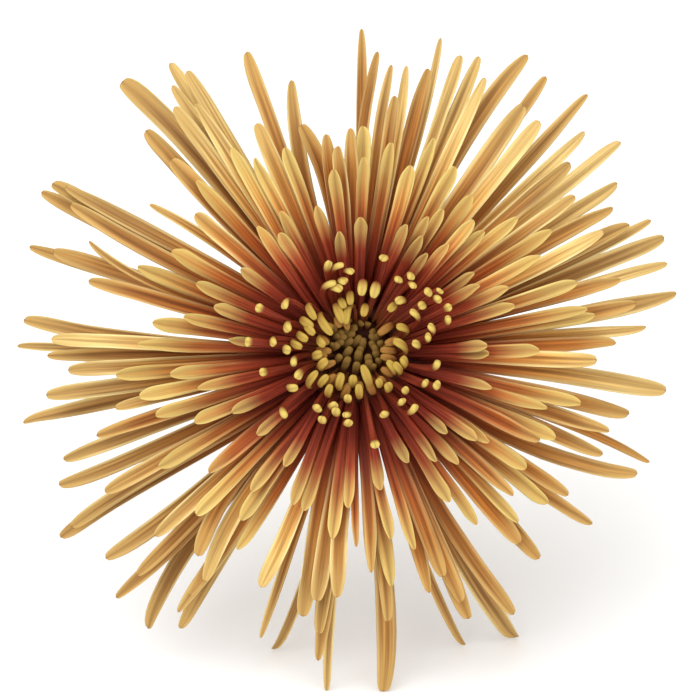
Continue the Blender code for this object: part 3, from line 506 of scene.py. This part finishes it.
def ray_rings(floret, stations, breadth, roll, hook, cup, twist, blunt):
    """Rings of one long or spooned floret, which draws its unevenness from its own place."""
    point_at = lambda share: ray_point(floret, share)
    uneven = random.Random(floret[0] * 100.0 + floret[1])
    rings = []
    for t, width, opened, thick in stations:
        tangent, side, up = frame_along(point_at, t)
        wide = width * (1.0 + (breadth - 1.0) * min(1.0, 2.0 * t)) * uneven.uniform(*WIDTH_LIMITS)
        curl = max(0.0, (t - CURL_START) / (1.0 - CURL_START))
        wide *= 1.0 + (blunt - 1.0) * curl
        fold = cup * wide * (1.0 + TIP_FOLD * curl)
        centre = point_at(t) + up * (hook * curl * curl) + side * uneven.uniform(-SIDE_LIMIT, SIDE_LIMIT)
        if t == 1.0:
            centre += tangent * TIP_ROUNDING
        rings.append(ring_round(centre, side, up, wide, opened, thick, fold, roll * t + twist * curl))
    return rings


def ray_pieces(petal, spoon):
    """Long florets in an outer and an inner piece, and the spooned florets of the middle rows."""
    draw = random.Random(RAY_SEED)
    finish_draw = random.Random(RAY_FINISH_SEED)
    outer, inner, spoons = new_bloom_mesh(), new_bloom_mesh(), new_bloom_mesh()
    for angle, reach, level in lay_rows(LONG_FLORETS + SPOON_FLORETS):
        key = (angle, reach)
        spooned = key in SPOON_FLORETS
        lean = LEANS.get(key, draw.uniform(-LEAN_LIMIT, LEAN_LIMIT))
        roll = math.radians(draw.uniform(-ROLL_LIMIT, ROLL_LIMIT))
        breadth = BREADTHS.get(key, draw.uniform(*BREADTH_LIMITS))
        if spooned:
            breadth *= clamp(SPOON_SLIM + SPOON_GROWTH * (reach - SPOON_SHORT), SPOON_SLIM, 1.0)
        press = floor_press(angle, reach, level) if key in FLOOR_FLORETS else 0.0
        floret = (angle, reach, level, lean, BOWS.get(key, 0.0), press)
        tint = finish_draw.random()
        if any(low < angle < high for low, high in PALE_SIDES):
            tint = PALE_TINT + (1.0 - PALE_TINT) * tint
        elif any(low < angle < high for low, high in TAWNY_SIDES):
            tint *= TAWNY_TINT
        cup = finish_draw.uniform(*CUP_LIMITS)
        hook = finish_draw.uniform(*(SPOON_HOOKS if spooned else LONG_HOOKS))
        twist = math.radians(finish_draw.uniform(-TWIST_LIMIT, TWIST_LIMIT))
        blunt = finish_draw.uniform(*BLUNTNESS_LIMITS)
        if press:
            hook, twist, blunt = 0.0, 0.0, 1.0
        if key == SQUARE_TIP:
            blunt, twist = SQUARE_BLUNTNESS, 0.0
        stations = SPOON_STATIONS if spooned else LONG_STATIONS
        rings = ray_rings(floret, stations, breadth, roll, hook, cup, twist, blunt)
        bm, marks = spoons if spooned else outer if reach > OUTER_REACH else inner
        grow_floret(bm, marks, rings, [station[0] for station in stations], tint)
    pieces = [
        finish_piece("outer_long_florets", outer[0], [petal], 1),
        finish_piece("inner_long_florets", inner[0], [petal], 1),
        finish_piece("spooned_florets", spoons[0], [spoon], 1),
    ]
    for piece in pieces:
        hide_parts("ray_florets")


def turned(name, profile, segments, finish):
    """Spin a profile of (radius, height) in millimetres about the bloom's axis."""
    bm = bmesh.new()
    verts = [bm.verts.new((radius, 0.0, height)) for radius, height in profile]
    edges = [bm.edges.new(pair) for pair in zip(verts, verts[1:])]
    bmesh.ops.spin(bm, geom=verts + edges, cent=(0, 0, 0), axis=(0, 0, 1), angle=math.tau,
                   steps=segments, use_merge=True)
    bmesh.ops.remove_doubles(bm, verts=bm.verts[:], dist=MERGE_DISTANCE)
    bmesh.ops.transform(bm, matrix=HEAD_PLACE, verts=bm.verts[:])
    return finish_piece(name, bm, [finish], 1)


def centre_pieces(club, finger, low, eye, throat):
    """Clubs, the fingers inside them and the small florets of the eye, on their dome."""
    draw = random.Random(CENTRE_SEED)
    finish_draw = random.Random(CENTRE_FINISH_SEED)
    clubs, fingers, lows, eyes = new_bloom_mesh(), new_bloom_mesh(), new_bloom_mesh(), new_bloom_mesh()
    plans = []
    for floret in CLUB_FLORETS:
        top = clamp(CLUB_TOP + CLUB_TOP_GROWTH * (floret[1] - CLUB_TOP_PLACE), *CLUB_TOPS)
        top += draw.uniform(-CLUB_TOP_LIMIT, CLUB_TOP_LIMIT)
        root = (min(CLUB_ROOT[0] * floret[3], CLUB_ROOT[1]), CLUB_ROOT[2])
        plans.append((centre_point, (floret, root, top), CLUB_SCALE, None, clubs))
    for floret in FINGER_FLORETS:
        top = FINGER_TOP + draw.uniform(-FINGER_TOP_LIMIT, FINGER_TOP_LIMIT)
        root = (FINGER_ROOT[0] * floret[3], FINGER_ROOT[1])
        plans.append((centre_point, (floret, root, top), FINGER_SCALE, None, fingers))
    for floret in low_fingers():
        root = (FINGER_ROOT[0] * floret[3], FINGER_ROOT[1])
        plans.append((centre_point, (floret, root, LOW_FINGER_TOP), FINGER_SCALE, None, lows))
    eye_plans = eye_florets(EYE_RINGS, EYE_TOP, DOME_REACH, EYE_SEED)
    eye_plans += eye_florets(EYE_FILL_RINGS, EYE_TOP - EYE_FILL_DROP, EYE_FILL_REACH, EYE_FILL_SEED)
    for root, tip in eye_plans:
        plans.append((eye_point, (root, tip), EYE_SCALE, root - tip, eyes))
    for rule, floret, scale, outward, (bm, marks) in plans:
        point_at = lambda share: rule(floret, share)
        rings = []
        breadth = scale * finish_draw.uniform(*BREADTH_LIMITS)
        for t, width, opened, thick in CLUB_STATIONS:
            _, side, up = frame_along(point_at, t, outward)
            wide, deep = width * breadth, thick * breadth
            rings.append(ring_round(point_at(t), side, up, wide, opened, deep, CLUB_FOLD, 0.0))
        grow_floret(bm, marks, rings, [station[0] for station in CLUB_STATIONS], finish_draw.random())
    pieces = [
        finish_piece("club_florets", clubs[0], [club], 1),
        finish_piece("finger_florets", fingers[0], [finger], 1),
        finish_piece("low_finger_florets", lows[0], [low], 1),
        finish_piece("eye_florets", eyes[0], [eye], 1),
        turned("centre_dome", DOME_PROFILE, DOME_STEPS, throat),
    ]
    for piece in pieces:
        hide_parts("centre_florets")


def receptacle_piece(throat):
    """Core of the bloom that the ray florets grow out of."""
    core = turned("receptacle", CORE_PROFILE, CORE_STEPS, throat)
    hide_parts("ray_florets")


def involucre_pieces(bract):
    """Green cup and three rows of overlapping bracts under the florets."""
    draw = random.Random(BRACT_SEED)
    bm, marks = new_bloom_mesh()
    for row, (count, start, tip_radius, tip_height) in enumerate(BRACT_ROWS):
        for number in range(count):
            turn = math.radians(start + 360.0 * number / count)
            out = Vector((math.cos(turn), math.sin(turn), 0.0))
            around = Vector((-out.y, out.x, 0.0))
            up = Vector((-out.x, -out.y, 1.0)).normalized()
            belly = (BRACT_BELLY[0], BRACT_BELLY[1] + BRACT_ROW_RISE * row)
            path = (BRACT_ROOT, belly, (tip_radius, tip_height))
            rings = []
            for t, width in BRACT_STATIONS:
                weights = ((1 - t) ** 2, 2 * t * (1 - t), t * t)
                radius = sum(weight * point[0] for weight, point in zip(weights, path))
                height = sum(weight * point[1] for weight, point in zip(weights, path))
                centre = out * radius + Vector((0, 0, height))
                rings.append(ring_round(centre, around, up, width, 1.0, BRACT_THICKNESS, BRACT_FOLD, 0.0))
            grow_floret(bm, marks, rings, [station[0] for station in BRACT_STATIONS], draw.random())
    pieces = [
        finish_piece("bracts", bm, [bract], 1),
        turned("bract_cup", CUP_PROFILE, CUP_STEPS, bract),
    ]
    for piece in pieces:
        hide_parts("involucre")


def stem_piece(skin, pith):
    """Ribbed stem with the swellings of its stripped leaves, cut off on the slant."""
    bm = bmesh.new()
    disc = bmesh.ops.create_circle(bm, cap_ends=True, segments=STEM_SIDES, radius=1.0)["verts"]
    end = disc[0].link_faces[0]
    for station in range(STEM_RINGS):
        share = station / (STEM_RINGS - 1)
        if station > 0:
            grown = bmesh.ops.extrude_face_region(bm, geom=[end])["geom"]
            if station > 1:
                bm.faces.remove(end)
            end = next(part for part in grown if isinstance(part, bmesh.types.BMFace))
        along = (stem_path(min(share + 0.01, 1.0)) - stem_path(max(share - 0.01, 0.0))).normalized()
        centre = stem_path(share) if station > 0 else stem_path(share) - along * STEM_SEAT
        side = along.cross(Vector((0, 0, 1))).normalized()
        up = side.cross(along)
        swelling = STEM_SLIMMEST + (1.0 - STEM_SLIMMEST) * share
        swelling += NECK_SWELL * max(0.0, 1.0 - share / NECK_SWELL_END)
        for scar in LEAF_SCARS:
            swelling += SCAR_SWELL * math.exp(-(((share - scar) / SCAR_SPREAD) ** 2))
        for number, vert in enumerate(end.verts):
            turn = math.tau * number / STEM_SIDES
            rib = RIB_HEIGHT * math.cos(RIBS * turn + RIB_TWIST * share)
            radius = STEM_RADIUS * (swelling + rib)
            vert.co = centre + side * (radius * math.cos(turn)) + up * (radius * math.sin(turn))
    end = stem_path(1.0)
    along = (end - stem_path(0.98)).normalized()
    slant = Matrix.Rotation(math.radians(CUT_SLANT), 3, Vector((1, 0, 0))) @ along
    bmesh.ops.bisect_plane(bm, geom=bm.verts[:] + bm.edges[:] + bm.faces[:], dist=CUT_TOLERANCE,
                           plane_co=end - along * STEM_RADIUS, plane_no=slant, clear_outer=True)
    filled = bmesh.ops.holes_fill(bm, edges=[edge for edge in bm.edges if edge.is_boundary], sides=0)
    for face in filled["faces"]:
        face.material_index = 1
    for vert in bm.verts:
        vert.co.z = max(vert.co.z, FLOOR_CLEARANCE)
    piece = finish_piece("stem_stalk", bm, [skin, pith])
    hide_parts("stem")


def paint(red, green, blue):
    """A colour given as the 0 to 255 values of a screen."""
    def linear(value):
        value /= 255.0
        return value / 12.92 if value <= 0.04045 else ((value + 0.055) / 1.055) ** 2.4
    return (linear(red), linear(green), linear(blue), 1.0)


class Finish:
    """A material under construction: its node tree with short ways to add the usual nodes."""

    def __init__(self, name, roughness):
        self.material = bpy.data.materials.new(name)
        self.material.use_nodes = True
        self.tree = self.material.node_tree
        self.shader = self.tree.nodes["Principled BSDF"]
        self.shader.inputs["Roughness"].default_value = roughness

    def add(self, kind, **settings):
        node = self.tree.nodes.new(kind)
        for name, value in settings.items():
            setattr(node, name, value)
        return node

    def join(self, output, socket):
        self.tree.links.new(output, socket)

    def feed(self, socket, value):
        """Join another node's output to a socket, or set it to a constant."""
        if isinstance(value, bpy.types.NodeSocket):
            self.join(value, socket)
        else:
            socket.default_value = value

    def mark(self, name):
        """What the points of a floret know of their place."""
        return self.add("ShaderNodeAttribute", attribute_name=name).outputs["Fac"]

    def math(self, operation, first, second=0.0):
        node = self.add("ShaderNodeMath", operation=operation)
        self.feed(node.inputs[0], first)
        self.feed(node.inputs[1], second)
        return node.outputs[0]

    def rise(self, value, low, high, bottom=0.0, top=1.0):
        """From bottom to top while the value goes from low to high, smoothly."""
        node = self.add("ShaderNodeMapRange", interpolation_type="SMOOTHSTEP")
        for socket, setting in zip(node.inputs, (value, low, high, bottom, top)):
            self.feed(socket, setting)
        return node.outputs[0]

    def ramp(self, value, stops):
        node = self.add("ShaderNodeValToRGB")
        elements = node.color_ramp.elements
        elements[0].position, elements[0].color = stops[0]
        elements[1].position, elements[1].color = stops[-1]
        for position, color in stops[1:-1]:
            elements.new(position).color = color
        self.join(value, node.inputs["Fac"])
        return node.outputs["Color"]

    def mix(self, share, under, over, blend="MIX"):
        node = self.add("ShaderNodeMix", data_type="RGBA", blend_type=blend)
        self.feed(node.inputs[0], share)
        self.feed(node.inputs[6], under)
        self.feed(node.inputs[7], over)
        return node.outputs[2]

    def vector(self, x, y, z):
        node = self.add("ShaderNodeCombineXYZ")
        for socket, value in zip(node.inputs, (x, y, z)):
            self.feed(socket, value)
        return node.outputs[0]

    def noise(self, vector, scale, detail=2.0):
        node = self.add("ShaderNodeTexNoise")
        self.join(vector, node.inputs["Vector"])
        node.inputs["Scale"].default_value = scale
        node.inputs["Detail"].default_value = detail
        return node.outputs["Fac"]

    def object_place(self):
        return self.add("ShaderNodeTexCoord").outputs["Object"]

    def relief(self, height, strength, distance):
        node = self.add("ShaderNodeBump")
        node.inputs["Strength"].default_value = strength
        node.inputs["Distance"].default_value = distance
        self.join(height, node.inputs["Height"])
        self.join(node.outputs["Normal"], self.shader.inputs["Normal"])

    def color(self, output):
        self.join(output, self.shader.inputs["Base Color"])


# Petals: colours multiply the ones along the radius, so 1 leaves them as they are
RAMP_RADIUS = 80.0  # millimetres from the axis that the end of a petal's colours stands for
# Streaks along a petal, darkest to lightest: veins, the pale ones partly painted highlight
STREAK_SHADES = ((0.34, (0.62, 0.56, 0.50, 1.0)), (0.5, (1.0, 1.0, 1.0, 1.0)), (0.66, (1.5, 1.62, 1.72, 1.0)))
STREAKS_ACROSS, STREAKS_ALONG, STREAKS_SCALE = 1.3, 0.8, 1.9
STREAKS_SHIFT, CHANNEL_SHADE_SHIFT = 61.0, 7.3  # large enough to make the streaks and the painted channel shade of each floret its own
# Colour and width of the painted shade along the middle of a floret's channel
CHANNEL_SHADE_COLOR, CHANNEL_SHADE_WIDTH = (0.6, 0.46, 0.34, 1.0), 0.55
TINT_HUES = (  # from tawny florets to faded ones
    (0.0, (1.0, 0.74, 0.42, 1.0)), (0.4, (1.02, 0.98, 0.84, 1.0)), (0.78, (1.1, 1.18, 1.2, 1.0)),
    (0.88, (1.55, 1.9, 2.1, 1.0)), (1.0, (1.85, 2.4, 2.9, 1.0)),
)
TINT_RADII, MARGIN_RADII = (15.0, 35.0), (20.0, 42.0)  # where they begin to show, and show in full
MARGIN_WIDTH = (0.5, 1.0)  # share of the way to the margin, the same way
WHITE = (1.0, 1.0, 1.0, 1.0)


def petal_finish(name, stops, tip, tip_span, tip_share, channel_shade_share, edge=WHITE, margin_and_highlight_share=0.0):
    """Satin petal: colours along the bloom's radius that darken deep in the bloom partly as painted shade,
    painted shade along the channel, pale margins partly painted as highlight, and streaks along it whose
    pale ones are partly painted highlight.

    The tip's colour comes in over tip_span, in shares of the length. The other shares are how much of the
    tip's colour, the channel's painted shade and the margins' pale colour and painted highlight show at most.
    """
    made = Finish(name, roughness=0.55)
    along, across, radius, tint = (made.mark(mark) for mark in MARKS)
    # Colours along the radius, which darken deep in the bloom partly as painted shade
    base = made.ramp(made.math("DIVIDE", radius, RAMP_RADIUS), stops)
    sideways = made.math("ABSOLUTE", across)
    # Streaks run the length of the floret: veins, the pale ones partly painted highlight
    lengthwise = made.vector(
        made.math("MULTIPLY", across, STREAKS_ACROSS),
        made.math("MULTIPLY", along, STREAKS_ALONG),
        made.math("MULTIPLY", tint, STREAKS_SHIFT),
    )
    streaks = made.noise(lengthwise, STREAKS_SCALE, detail=5.0)
    base = made.mix(1.0, base, made.ramp(streaks, STREAK_SHADES), "MULTIPLY")
    # Painted shade along the middle of the channel, stronger on some florets than others
    channel_shade_strength = made.math("FRACT", made.math("MULTIPLY", tint, CHANNEL_SHADE_SHIFT))
    channel_shade = made.rise(sideways, 0.0, CHANNEL_SHADE_WIDTH, bottom=channel_shade_share, top=0.0)
    channel_shade = made.math("MULTIPLY", channel_shade, channel_shade_strength)
    base = made.mix(channel_shade, base, CHANNEL_SHADE_COLOR, "MULTIPLY")
    # Outside the throat each floret has a hue of its own
    tinted = made.mix(1.0, base, made.ramp(tint, TINT_HUES), "MULTIPLY")
    base = made.mix(made.rise(radius, *TINT_RADII), base, tinted)
    # Pale margins, partly their own colour and partly painted highlight, palest on the palest florets and
    # broken by the streaks
    outward = made.rise(radius, *MARGIN_RADII, top=margin_and_highlight_share)
    outward = made.math("MULTIPLY", outward, made.rise(tint, 0.1, 0.9, bottom=0.45, top=1.1))
    pale_margin_and_highlight = made.math("MULTIPLY", made.rise(sideways, *MARGIN_WIDTH), outward)
    pale_margin_and_highlight = made.math("MULTIPLY", pale_margin_and_highlight, made.rise(streaks, 0.35, 0.6, bottom=0.3, top=1.0))
    base = made.mix(pale_margin_and_highlight, base, edge)
    # The painted channel shade carries on along the middle of the tip
    middle = made.rise(sideways, 0.0, 0.7, bottom=1.0 - 0.7 * channel_shade_share)
    tipped = made.math("MULTIPLY", made.rise(along, *tip_span, top=tip_share), middle)
    made.color(made.mix(tipped, base, tip))
    made.relief(streaks, strength=0.4, distance=0.0005)
    made.shader.inputs["Subsurface Weight"].default_value = 0.1
    made.shader.inputs["Subsurface Radius"].default_value = (1.0, 0.4, 0.12)
    made.shader.inputs["Subsurface Scale"].default_value = 0.0008
    made.shader.inputs["Specular IOR Level"].default_value = 0.2
    return made.material


def throat_finish():
    """Dark maroon of the receptacle between the florets, partly its own colour and partly painted shade deep
    in the bloom.
    """
    made = Finish("maroon throat", roughness=0.7)
    grain = made.noise(made.object_place(), scale=900.0, detail=3.0)
    made.color(made.ramp(grain, ((0.35, paint(44, 16, 10)), (0.7, paint(78, 30, 18)))))
    made.relief(grain, strength=0.3, distance=0.0004)
    made.shader.inputs["Specular IOR Level"].default_value = 0.1
    return made.material


def bract_finish():
    """Leaf green with a paler vein and papery brown edges."""
    made = Finish("green bract", roughness=0.6)
    along, across, _, tint = (made.mark(mark) for mark in MARKS)
    sideways = made.math("ABSOLUTE", across)
    grain = made.noise(made.object_place(), scale=500.0, detail=3.0)
    green = made.ramp(grain, ((0.3, paint(66, 84, 40)), (0.7, paint(98, 114, 56))))
    shades = ((0.0, (0.72, 0.76, 0.7, 1.0)), (1.0, (1.2, 1.15, 1.1, 1.0)))
    green = made.mix(1.0, green, made.ramp(tint, shades), "MULTIPLY")
    green = made.mix(made.rise(sideways, 0.0, 0.22, bottom=0.45, top=0.0), green, paint(146, 156, 96))
    edge = made.math("MAXIMUM", made.rise(sideways, 0.6, 0.95), made.rise(along, 0.85, 1.0))
    made.color(made.mix(edge, green, paint(120, 84, 50)))
    made.relief(grain, strength=0.3, distance=0.0003)
    return made.material


def stem_finish():
    """Green of the stem with a fine down and paler flecks, drawn out along it."""
    made = Finish("green stem", roughness=0.55)
    stretched = made.add("ShaderNodeMapping")
    stretched.inputs["Scale"].default_value = (1.0, 0.12, 1.0)
    made.join(made.object_place(), stretched.inputs["Vector"])
    flecks = made.noise(stretched.outputs["Vector"], scale=1400.0, detail=3.0)
    greens = ((0.3, paint(86, 104, 50)), (0.55, paint(112, 130, 68)), (0.8, paint(148, 160, 98)))
    made.color(made.ramp(flecks, greens))
    made.relief(flecks, strength=0.35, distance=0.0003)
    made.shader.inputs["Sheen Weight"].default_value = 0.2
    return made.material


def pith_finish():
    """Pale pith of the cut end."""
    made = Finish("pale pith", roughness=0.75)
    grain = made.noise(made.object_place(), scale=2500.0, detail=3.0)
    made.color(made.ramp(grain, ((0.3, paint(196, 204, 150)), (0.7, paint(232, 234, 196)))))
    made.relief(grain, strength=0.4, distance=0.0002)
    return made.material


def floor_and_light():
    """Plain pale floor, soft light from above and from the camera's left, and an even pale surround."""
    bpy.ops.mesh.primitive_plane_add(size=FLOOR_SIZE, location=(0.0, 0.0, 0.0))
    floor = bpy.context.object
    floor.name = "floor"
    made = Finish("pale floor", roughness=0.9)
    clouds = made.noise(made.object_place(), scale=3.0)
    made.color(made.ramp(clouds, ((0.0, paint(246, 246, 245)), (1.0, paint(250, 250, 249)))))
    floor.data.materials.append(made.material)
    head = HEAD_PLACE @ Vector((0, 0, 0))
    for name, place, size, power in LAMPS:
        lamp = bpy.data.lights.new(name, "AREA")
        lamp.size = size
        lamp.energy = power
        holder = bpy.data.objects.new(name, lamp)
        holder.location = HEAD_PLACE @ Vector(place)
        holder.rotation_euler = (head - holder.location).to_track_quat("-Z", "Y").to_euler()
        bpy.context.scene.collection.objects.link(holder)
    world = bpy.data.worlds.new("pale surround")
    world.use_nodes = True
    world.node_tree.nodes["Background"].inputs["Color"].default_value = (1.0, 1.0, 1.0, 1.0)
    world.node_tree.nodes["Background"].inputs["Strength"].default_value = SURROUND_STRENGTH
    bpy.context.scene.world = world
    bpy.context.scene.view_settings.view_transform = "Standard"


def camera():
    """Camera straight in front of the bloom's face."""
    lens = bpy.data.cameras.new("camera")
    lens.lens = LENS
    lens.sensor_width = SENSOR
    holder = bpy.data.objects.new("camera", lens)
    holder.location = HEAD_PLACE @ Vector((VIEW_ASIDE, VIEW_ABOVE, LENS / SENSOR * VIEW_WIDTH))
    holder.rotation_euler = (math.radians(90.0 - FACE_TILT), 0.0, 0.0)
    bpy.context.scene.collection.objects.link(holder)
    bpy.context.scene.camera = holder


def main():
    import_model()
    camera()
    floor_and_light()
    # Bronze along the radius, dark maroon towards the middle: partly the florets' own base colour, partly
    # painted shade deep in the bloom
    bronze = (
        (0.08, paint(98, 28, 17)), (0.24, paint(122, 38, 19)), (0.32, paint(134, 48, 19)),
        (0.43, paint(154, 84, 32)), (0.54, paint(160, 106, 48)), (0.7, paint(162, 120, 66)),
        (0.9, paint(158, 120, 70)),
    )
    # Stalks of the centre florets, turning dark maroon farther out: partly their own colour, partly painted
    # shade under the clubs
    stalk = (
        (0.05, paint(112, 62, 26)), (0.1, paint(124, 60, 28)), (0.16, paint(118, 44, 23)),
        (0.32, paint(124, 42, 24)),
    )
    # Olive of the eye, darkest towards the axis: partly its own colour, partly painted shade in the eye's
    # hollow
    olive = ((0.0, paint(62, 36, 16)), (0.12, paint(92, 54, 22)))
    # The pale edge colours of the margins are partly the petals' own colour and partly painted highlight
    petal = petal_finish("bronze petal", bronze, tip=paint(196, 160, 92), tip_span=(0.8, 1.0),
                         tip_share=0.7, channel_shade_share=0.7, edge=paint(236, 216, 150), margin_and_highlight_share=0.9)
    spoon = petal_finish("bronze spoon", bronze, tip=paint(208, 184, 106), tip_span=(0.66, 1.0),
                         tip_share=0.7, channel_shade_share=0.6, edge=paint(236, 218, 142), margin_and_highlight_share=0.85)
    club = petal_finish("yellow club", stalk, tip=paint(206, 180, 92), tip_span=(0.66, 0.92),
                        tip_share=1.0, channel_shade_share=0.5)
    finger = petal_finish("yellow finger", stalk, tip=paint(188, 160, 70), tip_span=(0.42, 0.95),
                          tip_share=0.95, channel_shade_share=0.5)
    low = petal_finish("tan finger", stalk, tip=paint(160, 116, 50), tip_span=(0.3, 1.0),
                       tip_share=0.9, channel_shade_share=0.5)
    eye = petal_finish("olive eye", olive, tip=paint(132, 100, 38), tip_span=(0.5, 1.0),
                       tip_share=0.85, channel_shade_share=0.3)
    throat = throat_finish()
    ray_pieces(petal, spoon)
    receptacle_piece(throat)
    centre_pieces(club, finger, low, eye, throat)
    involucre_pieces(bract_finish())
    stem_piece(stem_finish(), pith_finish())


main()
